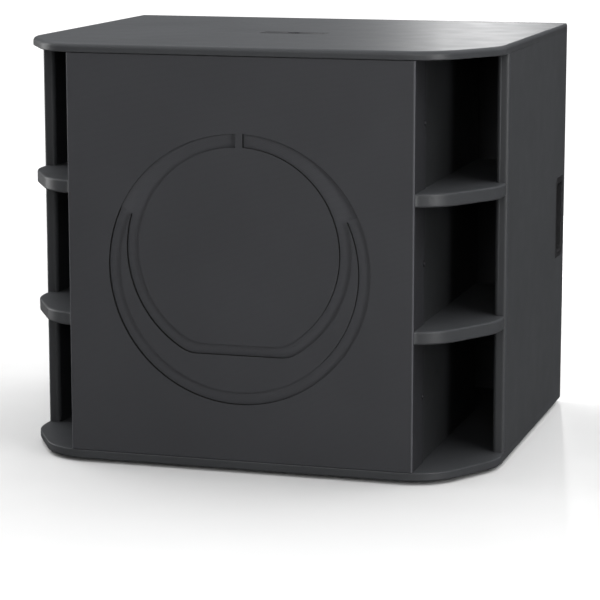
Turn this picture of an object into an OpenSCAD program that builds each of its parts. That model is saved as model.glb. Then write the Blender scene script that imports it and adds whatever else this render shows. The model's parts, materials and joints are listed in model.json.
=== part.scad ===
// Powered subwoofer cabinet: a ported plywood box with a grille, an 18-inch woofer and a rear amplifier.
// Millimetres. +X is to the right seen from the front, the front faces -Y, +Z is up.
// The origin is on the floor under the middle of the cabinet.

/* [Cabinet] */
// Width over the side panels
cabinet_width = 670; // [600:1:760]
// Depth from the front edge to the rear panel
cabinet_depth = 565; // [520:1:640]
// Height without the feet
cabinet_height = 570; // [540:1:640]
// Thickness of the side, rear, port and shelf panels
panel = 18; // [15:1:21]
// Thickness of the top and bottom panels
lid = 12; // [12:1:21]
// How far the side panels stand back from the front edge
side_setback = 148; // [120:1:170]
// Width of each curved front corner
corner_width = 65; // [50:1:80]
// Depth of each curved front corner
corner_depth = 110; // [90:1:125]
// Fillet where a corner meets the front
front_fillet = 82; // [40:1:90]
// Fillet where a corner meets the side
side_fillet = 86; // [30:1:90]
// Height of the rubber feet
foot_height = 5; // [5:1:10]

/* [Ports] */
// Half of the width between the two ports
port_face = 239.2; // [225:0.1:250]
// Underside of the upper shelves, above the bottom panel's underside
upper_shelf = 366.5; // [340:0.5:400]
// Underside of the lower shelves
lower_shelf = 184.5; // [160:0.5:220]
// Where the port walls end inside
port_end = 110; // [60:1:140]
// How far the shelf edges stand back from the panels' edges
shelf_inset = 2.5; // [0:0.5:6]

/* [Grille] */
// Half of the grille's width
grille_half = 241; // [230:0.5:245]
// Thickness of the grille sheet
grille_sheet = 1.5; // [1:0.1:2]
// Depth of the channels pressed into the grille
channel_depth = 4.5; // [2:0.5:6]
// Width of the channels
channel_width = 17; // [10:1:20]
// Outer radius of the large ring channel
large_ring = 183; // [150:1:200]
// Outer radius of the small ring channel
small_ring = 157; // [120:1:160]

/* [Woofer] */
// Outer radius of the basket's flange
flange_radius = 230; // [225:1:232]
// Radius of the bolt circle
bolt_circle = 223; // [218:1:225]
// Number of mounting bolts
bolt_count = 8; // [4:1:12]

/* [Amplifier] */
// Width of the amplifier panel
amp_width = 299; // [260:1:299]
// Height of the amplifier panel
amp_height = 400; // [360:1:400]
// Number of heatsink fins
fin_count = 12; // [8:1:14]
// Tilt of the power rocker each way, in degrees
rocker_tilt = 8; // [5:1:10]

/* [Model] */
// Sub-part to draw, or all of them

/* [Hidden] */
$fn = 48;
half_w = cabinet_width / 2;
half_d = cabinet_depth / 2;
low = foot_height;
high = foot_height + cabinet_height;
inner_low = low + lid;
inner_high = high - lid;
side_face = half_w - panel;
side_front = side_setback - half_d;
rear_face = half_d - panel;
chamfer_turn = atan2(corner_depth, corner_width);
front_tangent = front_fillet * tan(chamfer_turn / 2);
side_tangent = side_fillet * tan((90 - chamfer_turn) / 2);
front_centre = [half_w - corner_width - front_tangent, front_fillet - half_d];
side_centre = [half_w - side_fillet, corner_depth + side_tangent - half_d];
grille_front = 1 - half_d;
large_z = low + 272.6;
small_z = low + 297.5;
ring_flat = low + 156.7;
grille_back = -222;
grille_low = inner_low + 0.5;
grille_high = inner_high - 0.5;
baffle_front = -236;
baffle_back = baffle_front + panel;
woofer_z = low + cabinet_height / 2;
upper_z = low + upper_shelf;
lower_z = low + lower_shelf;
hold_z = [239, 341];
hold_y = [223.5, 261.5];
pole_y = -18;
amp_z = 294;
plate_back = rear_face + 1.5;
plate_front = plate_back + 3;
foot_x = 255;
foot_y = 215;
screw_rows = [100, 197, 294, 391, 488];
input_z = 445;
output_z = 400;
knob_z = 345;
button_z = 305;
light_z = 275;
socket_x = [50, 105];
light_x = [50, 77.5, 105];
inlet_x = 95;
mains_z = 160;
switch_x = 40;
switch_pivot = 266.5;
lead_path = [[7, baffle_front + 71, woofer_z + 188], [7, -120, 496], [12, 60, 496], [12, 96, 448],
    [12, 150, 443], [-20, 234, 400]];

// A box between two opposite corners
module block(from, to) {
    translate(from) cube(to - from);
}

// A round bar along Y
module bar(x, z, from, to, radius) {
    translate([x, from, z]) rotate([-90, 0, 0]) cylinder(h = to - from, r = radius);
}

// A turned piece of the woofer: the profile's height runs back from the baffle's front face
module turned() {
    translate([0, baffle_front, woofer_z]) rotate([-90, 0, 0]) rotate_extrude($fn = 96) children();
}

// Its copies around the woofer's axis
module around(count, first) {
    for (k = [0 : count - 1]) {
        translate([0, baffle_front, woofer_z]) rotate([0, first + k * 360 / count, 0]) children();
    }
}

// One run of a round lead between two points
module strand(from, to, radius) {
    run = to - from;
    flat = norm([run[0], run[1]]);
    translate(from) rotate([0, atan2(flat, run[2]), atan2(run[1], run[0])])
        cylinder(h = norm(run), r = radius);
}

// A wood screw: its head's top at the origin, its shank down along -Z
module wood_screw(head, shank_length) {
    difference() {
        union() {
            translate([0, 0, -2]) cylinder(h = 2, r = head);
            translate([0, 0, -shank_length]) cylinder(h = shank_length - 1, r = 1.9);
        }
        translate([-2, -0.4, -1]) cube([4, 0.8, 2]);
        translate([-0.4, -2, -1]) cube([0.8, 4, 2]);
    }
}

// The right-hand corner from the front edge round to the side, drawn in by an inset
function corner_points(inset) = concat(
    [for (k = [0 : 8]) front_centre + (front_fillet - inset) * heading(chamfer_turn * k / 8)],
    [for (k = [0 : 8]) side_centre
        + (side_fillet - inset) * heading(chamfer_turn + (90 - chamfer_turn) * k / 8)]);

// Unit direction, turned from straight ahead towards the right-hand side
function heading(turn) = [sin(turn), -cos(turn)];

// The cabinet's outline seen from above
module cabinet_outline(inset) {
    polygon(concat(
        corner_points(inset),
        [[half_w - inset, half_d], [inset - half_w, half_d]],
        [for (k = [17 : -1 : 0]) [-corner_points(inset)[k][0], corner_points(inset)[k][1]]]));
}

module top_panel() color("dimgray") {
    difference() {
        translate([0, 0, inner_high]) linear_extrude(lid) cabinet_outline(0);
        block([-47.2, pole_y - 17.2, high - 3], [47.2, pole_y + 17.2, high + 1]);
        translate([0, pole_y, inner_high - 1]) cylinder(h = lid + 2, r = 16);
        for (x = [-38, 38]) {
            translate([x, pole_y, inner_high + 1]) cylinder(h = lid, r = 2);
        }
    }
}

module bottom_panel() color("dimgray") {
    difference() {
        translate([0, 0, low]) linear_extrude(lid) cabinet_outline(0);
        for (x = [-foot_x, foot_x]) {
            for (y = [-foot_y, foot_y]) {
                translate([x, y, low - 1]) cylinder(h = 11.5, r = 2);
            }
        }
    }
}

// The right-hand side panel, with the cut for the hand-hold cup
module side_panel() {
    difference() {
        block([side_face, side_front, inner_low], [half_w, half_d, inner_high]);
        block([side_face - 1, hold_y[0] - 3, hold_z[0] - 3],
            [half_w + 1, hold_y[1] + 3, hold_z[1] + 3]);
        block([half_w - 2, hold_y[0] - 8.7, hold_z[0] - 9.2],
            [half_w + 1, hold_y[1] + 8.7, hold_z[1] + 9.2]);
        for (z = [hold_z[0] - 5, hold_z[1] + 5]) {
            translate([half_w - 15, 242.5, z]) rotate([0, 90, 0]) cylinder(h = 16, r = 2);
        }
    }
}

module left_side_panel() color("dimgray") {
    mirror([1, 0, 0]) side_panel();
}

module right_side_panel() color("dimgray") {
    side_panel();
}

module rear_panel() color("dimgray") {
    difference() {
        block([-side_face, rear_face, inner_low], [side_face, half_d, inner_high]);
        block([-151, rear_face - 1, amp_z - 201.5], [151, half_d + 1, amp_z + 201.5]);
    }
}

module baffle() color("dimgray") {
    difference() {
        block([-port_face, baffle_front, inner_low], [port_face, baffle_back, inner_high]);
        bar(0, woofer_z, baffle_front - 1, baffle_back + 1, 211);
        around(bolt_count, 22.5) translate([bolt_circle, -1, 0]) rotate([-90, 0, 0])
            cylinder(h = 30, r = 3.3);
        for (side = [-1, 1]) {
            for (z = [110, woofer_z, 477]) {
                translate([side * (port_face - 9), baffle_front + 9, z]) rotate([0, 90, 0])
                    cylinder(h = 20, r = 1.95, center = true);
            }
        }
    }
}

module port_wall() {
    block([port_face - panel, baffle_back, inner_low], [port_face, port_end, inner_high]);
}

module left_port_wall() color("dimgray") {
    mirror([1, 0, 0]) port_wall();
}

module right_port_wall() color("dimgray") {
    port_wall();
}

// One right-hand shelf: it follows the curved corner in front and fits between the walls behind
module shelf(z) {
    translate([0, 0, z]) linear_extrude(panel) intersection() {
        cabinet_outline(shelf_inset);
        union() {
            translate([grille_half + 0.3, -half_d]) square([half_w - grille_half, side_setback]);
            translate([port_face, grille_back + 0.3])
                square([side_face - port_face, port_end - grille_back - 0.3]);
        }
    }
}

module left_upper_shelf() color("dimgray") {
    mirror([1, 0, 0]) shelf(upper_z);
}

module left_lower_shelf() color("dimgray") {
    mirror([1, 0, 0]) shelf(lower_z);
}

module right_upper_shelf() color("dimgray") {
    shelf(upper_z);
}

module right_lower_shelf() color("dimgray") {
    shelf(lower_z);
}

module cross_brace() color("burlywood") {
    difference() {
        block([panel - port_face, 30, inner_low], [port_face - panel, 48, inner_high]);
        block([-180, 29, 70], [180, 49, 270]);
        block([-180, 29, 317], [180, 49, 517]);
    }
}

module left_lining() color("lightgray") {
    block([panel - port_face, -190, 60], [panel - port_face + 20, 20, 527]);
}

module right_lining() color("lightgray") {
    block([port_face - panel - 20, -190, 60], [port_face - panel, 20, 527]);
}

// A disc seen from the front, cut off below a level
module disc(z, radius, level) {
    difference() {
        translate([0, z]) circle(r = radius);
        translate([-radius - 1, level - 2 * radius]) square([2 * radius + 2, 2 * radius]);
    }
}

// The two ring channels seen from the front, made wider by grow on every side, and the bridge over them
module channels(grow) {
    difference() {
        union() {
            difference() {
                translate([0, large_z]) circle(r = large_ring + grow);
                translate([0, large_z]) circle(r = large_ring - channel_width - grow);
            }
            difference() {
                disc(small_z, small_ring + grow, ring_flat - grow);
                disc(small_z, small_ring - channel_width - grow, ring_flat + 15 + grow);
            }
        }
        translate([grow - 3, large_z + 100]) square([10 - 2 * grow, 100]);
    }
}

// A flat shape seen from the front, given thickness along Y
module pressed(from, to) {
    translate([0, to, 0]) rotate([90, 0, 0]) linear_extrude(to - from) children();
}

module grille() color("darkslategray") {
    difference() {
        union() {
            difference() {
                block([-grille_half, grille_front, grille_low],
                    [grille_half, grille_back, grille_high]);
                block([grille_sheet - grille_half, grille_front + grille_sheet, grille_low + grille_sheet],
                    [grille_half - grille_sheet, grille_back + 1, grille_high - grille_sheet]);
                block([-grille_half - 1, grille_front + 26, grille_high - 5],
                    [grille_half + 1, 0, grille_high + 1]);
                block([-grille_half - 1, grille_front + 26, grille_low - 1],
                    [grille_half + 1, 0, grille_low + 5]);
            }
            pressed(grille_front + 0.5, grille_front + channel_depth + grille_sheet)
                channels(grille_sheet);
        }
        pressed(grille_front - 1, grille_front + channel_depth) channels(0);
        for (side = [-1, 1]) {
            for (z = [110, woofer_z, 477]) {
                translate([side * grille_half, baffle_front + 9, z]) rotate([0, 90, 0])
                    cylinder(h = 8, r = 2.1, center = true);
            }
        }
    }
}

module grille_foam() color("black") {
    block([4 - grille_half, grille_front + channel_depth + grille_sheet + 0.2, grille_low + 3],
        [grille_half - 4, grille_front + channel_depth + grille_sheet + 5.2, grille_high - 3]);
}

module grille_screws() color("silver") {
    for (side = [-1, 1]) {
        for (z = [110, woofer_z, 477]) {
            translate([side * (grille_half + 1.6), baffle_front + 9, z]) rotate([0, side * 90, 0])
                difference() {
                    union() {
                        translate([0, 0, -1.6]) cylinder(h = 1.6, r = 4);
                        translate([0, 0, -14]) cylinder(h = 13, r = 1.85);
                    }
                    translate([-2.2, -0.4, -0.9]) cube([4.4, 0.8, 2]);
                    translate([-0.4, -2.2, -0.9]) cube([0.8, 4.4, 2]);
                }
        }
    }
}

module pole_plate() color("black") {
    difference() {
        union() {
            block([-47, pole_y - 17, high - 3], [47, pole_y + 17, high]);
            translate([0, pole_y, high - 75]) cylinder(h = 73, r = 15);
        }
        translate([0, pole_y, high - 60]) cylinder(h = 61, r = 10);
        for (x = [-38, 38]) {
            translate([x, pole_y, high - 4]) cylinder(h = 5, r = 2);
            translate([x, pole_y, high - 2]) cylinder(h = 3, r = 3.6);
        }
    }
}

// The right-hand hand-hold: a cup with a flush flange
module handle_cup() {
    difference() {
        union() {
            block([half_w - 1.9, hold_y[0] - 8.5, hold_z[0] - 9],
                [half_w, hold_y[1] + 8.5, hold_z[1] + 9]);
            block([half_w - 55, hold_y[0] - 2.5, hold_z[0] - 2.5],
                [half_w - 1, hold_y[1] + 2.5, hold_z[1] + 2.5]);
        }
        block([half_w - 52.5, hold_y[0], hold_z[0]], [half_w + 1, hold_y[1], hold_z[1]]);
        for (z = [hold_z[0] - 5, hold_z[1] + 5]) {
            translate([half_w - 3, 242.5, z]) rotate([0, 90, 0]) cylinder(h = 4, r = 2);
            translate([half_w - 1, 242.5, z]) rotate([0, 90, 0]) cylinder(h = 2, r = 3.1);
        }
    }
}

module left_handle_cup() color("black") {
    mirror([1, 0, 0]) handle_cup();
}

module right_handle_cup() color("black") {
    handle_cup();
}

module wood_screws() color("silver") {
    for (x = [-38, 38]) {
        translate([x, pole_y, high]) wood_screw(3.5, 10.5);
    }
    for (x = [-foot_x, foot_x]) {
        for (y = [-foot_y, foot_y]) {
            translate([x, y, 1]) mirror([0, 0, 1]) wood_screw(3.5, 14);
        }
    }
    for (side = [-1, 1]) {
        for (z = [hold_z[0] - 5, hold_z[1] + 5]) {
            translate([side * half_w, 242.5, z]) rotate([0, side * 90, 0]) difference() {
                union() {
                    translate([0, 0, -1]) cylinder(h = 1, r = 3);
                    translate([0, 0, -14]) cylinder(h = 13.5, r = 1.9);
                }
                translate([-1.8, -0.4, -0.6]) cube([3.6, 0.8, 2]);
                translate([-0.4, -1.8, -0.6]) cube([0.8, 3.6, 2]);
            }
        }
    }
}

module feet() color("black") {
    for (x = [-foot_x, foot_x]) {
        for (y = [-foot_y, foot_y]) {
            difference() {
                translate([x, y, 0]) cylinder(h = foot_height, r = 20);
                translate([x, y, -1]) cylinder(h = 4, r = 4.5);
                translate([x, y, -1]) cylinder(h = 8, r = 2);
            }
        }
    }
}

module woofer_basket() color("gray") {
    difference() {
        turned() polygon([[205, -9], [230, -9], [230, -1.5], [210, -1.5], [210, 14], [130, 90], [130, 118],
            [124, 124], [60, 124], [60, 118], [118, 118], [124, 112], [124, 92], [112, 92], [112, 88],
            [124, 88], [205, 12]]);
        around(8, 22.5) translate([0, 18, 0]) rotate([-90, 0, 0]) linear_extrude(66)
            polygon([[127, -38], [212, -68], [212, 68], [127, 38]]);
        around(bolt_count, 22.5) translate([bolt_circle, -10, 0]) rotate([-90, 0, 0])
            cylinder(h = 10, r = 3.3);
    }
}

module woofer_gasket() color("black") {
    difference() {
        turned() polygon([[212, -1.5], [230, -1.5], [230, 0], [212, 0]]);
        around(bolt_count, 22.5) translate([bolt_circle, -3, 0]) rotate([-90, 0, 0])
            cylinder(h = 4, r = 3.3);
    }
}

module surround_ring() color("black") {
    turned() polygon([[204, -13.2], [216, -13.2], [216, -10.2], [204, -10.2]]);
}

module top_plate() color("silver") {
    turned() polygon([[54, 124], [105, 124], [105, 134], [54, 134]]);
}

module magnet() color("black") {
    turned() polygon([[60, 134], [112, 134], [112, 159], [60, 159]]);
}

module yoke() color("silver") {
    turned() polygon([[15, 126], [49.2, 126], [49.2, 159], [105, 159], [105, 167], [101, 171], [15, 171]]);
}

module cone() color("black") {
    turned() polygon([[50.7, 72], [50.7, 68], [115, 28], [165, 1], [171, -1], [178, -1], [178, 1],
        [172, 1], [117, 31], [54, 72]]);
}

module dust_cap() color("black") {
    turned() polygon(concat(
        [for (k = [0 : 10]) [6.2 * k, 40.2 + 0.19 * k * k]],
        [for (k = [10 : -1 : 0]) [6.2 * k, 41.8 + 0.19 * k * k]]));
}

module voice_coil() color("chocolate") {
    turned() polygon([[50, 64], [50.6, 64], [50.6, 116], [52.6, 116], [52.6, 142], [50, 142]]);
}

// Front face of the surround's three rolls at a share of the way out
function roll(share) = -2.2 - 8 * share - 4 * pow(sin(540 * share), 2);

module surround() color("black") {
    turned() polygon(concat([[170, -1], [170, -2.2]],
        [for (k = [0 : 24]) [178 + 26 * k / 24, roll(k / 24)]],
        [[216, -10.2], [216, -9.02]],
        [for (k = [24 : -1 : 0]) [178 + 26 * k / 24, roll(k / 24) + 1.18]]));
}

// Front face of the spider's waves at a share of the way out
function wave(share) = 76.8 + 10 * share + 2 * sin(1800 * share);

module spider() color("goldenrod") {
    turned() polygon(concat([[50.7, 76.8]],
        [for (k = [0 : 30]) [56 + 56 * k / 30, wave(k / 30)]],
        [[122, 86.8], [122, 87.98]],
        [for (k = [30 : -1 : 0]) [56 + 56 * k / 30, wave(k / 30) + 1.18]],
        [[50.7, 77.98]]));
}

module woofer_bolts() color("silver") {
    around(bolt_count, 22.5) translate([bolt_circle, -9, 0]) rotate([-90, 0, 0]) difference() {
        union() {
            translate([0, 0, -5]) cylinder(h = 5, r = 5);
            cylinder(h = 25, r = 3);
        }
        translate([0, 0, -6]) cylinder(h = 4, r = 2.6, $fn = 6);
    }
}

module woofer_terminals() color("firebrick") {
    translate([-14, baffle_front, woofer_z]) rotate([90, 0, 90]) linear_extrude(28)
        polygon([[40, 184.5], [40, 198], [62, 198], [62, 161.5]]);
    for (x = [-7, 7]) {
        bar(x, woofer_z + 188, baffle_front + 62, baffle_front + 70, 3);
    }
}

module speaker_lead() color("black") {
    for (k = [0 : 4]) {
        strand(lead_path[k], lead_path[k + 1], 3);
    }
    for (k = [1 : 4]) {
        translate(lead_path[k]) sphere(r = 3.5);
    }
}

module amp_chamber() color("black") {
    difference() {
        union() {
            block([-178, rear_face - 18, amp_z - 228], [178, rear_face, amp_z + 228]);
            block([-146, 120, amp_z - 198], [146, rear_face - 10, amp_z + 198]);
        }
        block([-136, 130, amp_z - 188], [136, rear_face + 1, amp_z + 188]);
        bar(12, 443, 118, 132, 6);
        for (x = [-143, 143]) {
            for (z = screw_rows) {
                bar(x, z, rear_face - 12, rear_face + 1, 2);
            }
        }
    }
}

module amp_gasket() color("black") {
    difference() {
        block([-amp_width / 2, rear_face, amp_z - 200], [amp_width / 2, plate_back, amp_z + 200]);
        block([-136, rear_face - 1, amp_z - 188], [136, plate_back + 1, amp_z + 188]);
        for (x = [-143, 143]) {
            for (z = screw_rows) {
                bar(x, z, rear_face - 1, plate_back + 1, 2.4);
            }
        }
    }
}

module amp_panel() color("black") {
    difference() {
        block([-amp_width / 2, plate_back, amp_z - amp_height / 2],
            [amp_width / 2, plate_front, amp_z + amp_height / 2]);
        for (x = [-143, 143]) {
            for (z = screw_rows) {
                bar(x, z, plate_back - 1, plate_front + 1, 2.2);
            }
        }
        for (x = socket_x) {
            bar(x, input_z, plate_back - 1, plate_front + 1, 12);
            block([x - 6.3, plate_back - 1, input_z], [x + 6.3, plate_front + 1, input_z + 15.3]);
            bar(x, output_z, plate_back - 1, plate_front + 1, 12);
            bar(x, knob_z, plate_back - 1, plate_front + 1, 3.5);
        }
        for (x = light_x) {
            bar(x, light_z, plate_back - 1, plate_front + 1, 1.7);
        }
        block([72.9, plate_back - 1, button_z - 4.6], [82.1, plate_front + 1, button_z + 4.6]);
        block([inlet_x - 14, plate_back - 1, mains_z - 10.3],
            [inlet_x + 14, plate_front + 1, mains_z + 10.3]);
        block([switch_x - 11, plate_back - 1, mains_z - 14],
            [switch_x + 11, plate_front + 1, mains_z + 14]);
    }
}

module amp_screws() color("silver") {
    for (x = [-143, 143]) {
        for (z = screw_rows) {
            difference() {
                union() {
                    bar(x, z, plate_front, plate_front + 2.4, 4);
                    bar(x, z, rear_face - 10, plate_front + 0.1, 1.95);
                }
                block([x - 2.2, plate_front + 1.2, z - 0.4], [x + 2.2, plate_front + 3, z + 0.4]);
                block([x - 0.4, plate_front + 1.2, z - 2.2], [x + 0.4, plate_front + 3, z + 2.2]);
            }
        }
    }
}

module heatsink() color("black") {
    block([-136, plate_front, 118], [4, plate_front + 3, 470]);
    for (k = [0 : fin_count - 1]) {
        x = -135 + k * (136 / (fin_count - 1));
        block([x - 1, plate_front + 2, 118], [x + 1.5, half_d - 1, 470]);
    }
}

module amp_board() color("darkgreen") {
    block([-130, 238, 130], [-5, 239.6, 460]);
}

module standoffs() color("silver") {
    for (x = [-122, -13]) {
        for (z = [138, 452]) {
            bar(x, z, 239.6, plate_back, 3);
        }
    }
}

module capacitors() color("navy") {
    for (x = [-100, -55]) {
        for (z = [185, 240]) {
            bar(x, z, 192, 238, 16);
        }
    }
}

module transformer() color("gold") {
    translate([72, 130, 190]) rotate([-90, 0, 0]) rotate_extrude($fn = 64)
        polygon([[14, 6], [20, 0], [42, 0], [48, 6], [48, 34], [42, 40], [20, 40], [14, 34]]);
}

// A panel socket: its flange, its body behind the panel and its round mouth
module socket_shell(x, z) {
    difference() {
        union() {
            block([x - 13, plate_front, z - 15.5], [x + 13, plate_front + 2.5, z + 15.5]);
            bar(x, z, plate_back - 20, plate_front + 0.5, 11.7);
            bar(x, z, plate_front + 2, plate_front + 4.5, 12.3);
        }
        bar(x, z, plate_back - 8, plate_front + 6, 9.6);
    }
}

module input_socket(x) {
    difference() {
        union() {
            socket_shell(x, input_z);
            bar(x, input_z, plate_back - 9, plate_front + 1, 7.4);
            block([x - 6, plate_back - 18, input_z + 11], [x + 6, plate_front + 0.5, input_z + 15]);
        }
        bar(x, input_z, plate_back - 19, plate_front + 2, 3.25);
        block([x - 3.9, plate_back - 6, input_z + 9], [x + 3.9, plate_front + 6, input_z + 14]);
    }
}

module left_input() color("black") {
    input_socket(socket_x[0]);
}

module right_input() color("black") {
    input_socket(socket_x[1]);
}

module latch(x) {
    block([x - 3.5, plate_back - 1.5, input_z + 9.9], [x + 3.5, plate_front + 7, input_z + 13.6]);
}

module left_latch() color("silver") {
    latch(socket_x[0]);
}

module right_latch() color("silver") {
    latch(socket_x[1]);
}

module output_socket(x) {
    socket_shell(x, output_z);
    for (place = [[-3.9, 1.8], [3.9, 1.8], [0, 5.6]]) {
        bar(x + place[0], output_z + place[1], plate_back - 9, plate_front - 1, 1.2);
    }
}

module left_output() color("black") {
    output_socket(socket_x[0]);
}

module right_output() color("black") {
    output_socket(socket_x[1]);
}

module mains_inlet() color("black") {
    difference() {
        union() {
            block([inlet_x - 25, plate_front, mains_z - 11.5],
                [inlet_x + 25, plate_front + 2.5, mains_z + 11.5]);
            block([inlet_x - 13.7, plate_back - 20, mains_z - 10],
                [inlet_x + 13.7, plate_front + 1, mains_z + 10]);
        }
        translate([inlet_x, plate_front + 4, mains_z]) rotate([90, 0, 0]) linear_extrude(18)
            polygon([[-12, -8], [12, -8], [12, 4], [8, 8], [-8, 8], [-12, 4]]);
    }
    for (x = [-7, 7]) {
        block([inlet_x + x - 1, plate_back - 12, mains_z - 2],
            [inlet_x + x + 1, plate_front, mains_z + 2]);
    }
    block([inlet_x - 1, plate_back - 12, mains_z + 2.5], [inlet_x + 1, plate_front, mains_z + 6.5]);
}

module switch_frame() color("black") {
    difference() {
        union() {
            block([switch_x - 13, plate_front, mains_z - 16],
                [switch_x + 13, plate_front + 2, mains_z + 16]);
            block([switch_x - 10.8, plate_back - 18, mains_z - 13.8],
                [switch_x + 10.8, plate_front + 1, mains_z + 13.8]);
        }
        block([switch_x - 9, plate_back - 14, mains_z - 12.7],
            [switch_x + 9, plate_front + 3, mains_z + 12.7]);
        translate([switch_x, switch_pivot, mains_z]) rotate([0, 90, 0])
            cylinder(h = 19.6, r = 1.56, center = true);
    }
}

module power_rocker() color("firebrick") {
    translate([switch_x, switch_pivot, mains_z]) rotate([-rocker_tilt, 0, 0]) {
        translate([-8.6, 0, 0]) rotate([90, 0, 90]) linear_extrude(17.2)
            polygon([[-5, -5], [0, -11], [6.5, -11], [4.5, 0], [6.5, 11], [0, 11], [-5, 5]]);
        rotate([0, 90, 0]) cylinder(h = 19.2, r = 1.5, center = true);
    }
}

// A knob with its shaft, and a pointer groove in its face
module knob(x) {
    difference() {
        union() {
            bar(x, knob_z, plate_front + 0.6, plate_front + 2.6, 10);
            bar(x, knob_z, plate_front + 2.4, half_d - 1, 8);
            bar(x, knob_z, 250, plate_front + 1, 3);
        }
        block([x - 0.6, half_d - 2, knob_z + 1], [x + 0.6, half_d, knob_z + 9]);
    }
}

module level_knob() color("black") {
    knob(socket_x[1]);
}

module crossover_knob() color("black") {
    knob(socket_x[0]);
}

module control_bodies() color("gray") {
    for (x = socket_x) {
        difference() {
            block([x - 8.5, 244, knob_z - 8.5], [x + 8.5, plate_back, knob_z + 8.5]);
            bar(x, knob_z, 248, plate_back + 1, 3.05);
        }
    }
    difference() {
        block([71, 244, button_z - 6.5], [84, plate_back, button_z + 6.5]);
        block([73.1, 250, button_z - 4.4], [81.9, plate_back + 1, button_z + 4.4]);
    }
}

module polarity_button() color("gray") {
    block([73.5, 256, button_z - 4], [81.5, plate_front + 6, button_z + 4]);
}

module status_lights() color("lime") {
    for (x = light_x) {
        bar(x, light_z, 260, plate_front + 0.8, 1.5);
        translate([x, plate_front + 0.8, light_z]) sphere(r = 1.5, $fn = 24);
    }
}

top_panel();
bottom_panel();
left_side_panel();
right_side_panel();
rear_panel();
baffle();
left_port_wall();
right_port_wall();
left_upper_shelf();
left_lower_shelf();
right_upper_shelf();
right_lower_shelf();
cross_brace();
left_lining();
right_lining();
grille();
grille_foam();
grille_screws();
pole_plate();
left_handle_cup();
right_handle_cup();
wood_screws();
feet();
woofer_basket();
woofer_gasket();
surround_ring();
top_plate();
magnet();
yoke();
cone();
dust_cap();
voice_coil();
surround();
spider();
woofer_bolts();
woofer_terminals();
speaker_lead();
amp_chamber();
amp_gasket();
amp_panel();
amp_screws();
heatsink();
amp_board();
standoffs();
capacitors();
transformer();
left_input();
right_input();
left_latch();
right_latch();
left_output();
right_output();
mains_inlet();
switch_frame();
power_rocker();
level_knob();
crossover_knob();
control_bodies();
polarity_button();
status_lights();
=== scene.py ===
"""Looks of the powered subwoofer cabinet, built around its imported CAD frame. Metres, +Z up, front at -Y."""

import json
import math

import bmesh
import bpy
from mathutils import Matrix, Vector


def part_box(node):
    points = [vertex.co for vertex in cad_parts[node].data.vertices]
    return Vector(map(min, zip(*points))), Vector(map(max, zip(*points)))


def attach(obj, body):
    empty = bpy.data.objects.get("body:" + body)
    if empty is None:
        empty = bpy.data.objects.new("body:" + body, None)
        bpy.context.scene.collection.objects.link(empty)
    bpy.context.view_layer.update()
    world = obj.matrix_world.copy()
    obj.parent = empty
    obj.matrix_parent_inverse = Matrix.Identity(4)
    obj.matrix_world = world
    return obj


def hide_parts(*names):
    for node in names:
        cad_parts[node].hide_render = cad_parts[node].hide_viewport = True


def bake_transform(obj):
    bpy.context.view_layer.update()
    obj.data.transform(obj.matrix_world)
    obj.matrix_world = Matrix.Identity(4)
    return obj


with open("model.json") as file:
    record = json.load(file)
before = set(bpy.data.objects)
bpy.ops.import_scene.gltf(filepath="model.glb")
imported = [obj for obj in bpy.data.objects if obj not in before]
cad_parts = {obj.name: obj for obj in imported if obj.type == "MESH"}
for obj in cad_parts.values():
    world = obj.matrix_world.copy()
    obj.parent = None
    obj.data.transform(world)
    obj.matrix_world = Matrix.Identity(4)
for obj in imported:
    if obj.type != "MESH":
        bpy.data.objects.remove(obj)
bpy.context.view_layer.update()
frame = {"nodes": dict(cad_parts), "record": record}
shown = set(frame["nodes"])          # the CAD nodes that no piece has replaced yet

TOUCH = 0.0001                       # two places nearer than this are the same place
CLEAR = 0.01                         # how far a cutting solid runs past what it cuts

# ---------------------------------------------------------------- mesh helpers


def link_object(name, bm):
    bmesh.ops.recalc_face_normals(bm, faces=bm.faces)
    mesh = bpy.data.meshes.new(name)
    bm.to_mesh(mesh)
    bm.free()
    obj = bpy.data.objects.new(name, mesh)
    bpy.context.scene.collection.objects.link(obj)
    return obj


def prism(name, points, low, high, axis="z"):
    """A straight-sided solid on a flat outline, along z, y or x."""
    place = {
        "z": lambda u, v, w: (u, v, w),
        "y": lambda u, v, w: (u, w, v),
        "x": lambda u, v, w: (w, u, v),
    }[axis]
    bm = bmesh.new()
    base = [bm.verts.new(place(u, v, low)) for u, v in points]
    top = [bm.verts.new(place(u, v, high)) for u, v in points]
    bm.faces.new(base)
    bm.faces.new(top)
    for i in range(len(points)):
        j = (i + 1) % len(points)
        bm.faces.new((base[i], base[j], top[j], top[i]))
    return link_object(name, bm)


def rounded(low, high, radius, steps=6):
    """Outline of a rectangle with round corners, between two corners (u, v)."""
    points = []
    for cu, cv, start in (
        (high[0] - radius, high[1] - radius, 0),
        (low[0] + radius, high[1] - radius, 90),
        (low[0] + radius, low[1] + radius, 180),
        (high[0] - radius, low[1] + radius, 270),
    ):
        for k in range(steps + 1):
            turn = math.radians(start + 90 * k / steps)
            points.append((cu + radius * math.cos(turn), cv + radius * math.sin(turn)))
    return points


def slab(name, low, high):
    """A straight block between its lowest and highest corners."""
    outline = [(low[0], low[1]), (high[0], low[1]), (high[0], high[1]), (low[0], high[1])]
    return prism(name, outline, low[2], high[2])


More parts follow.
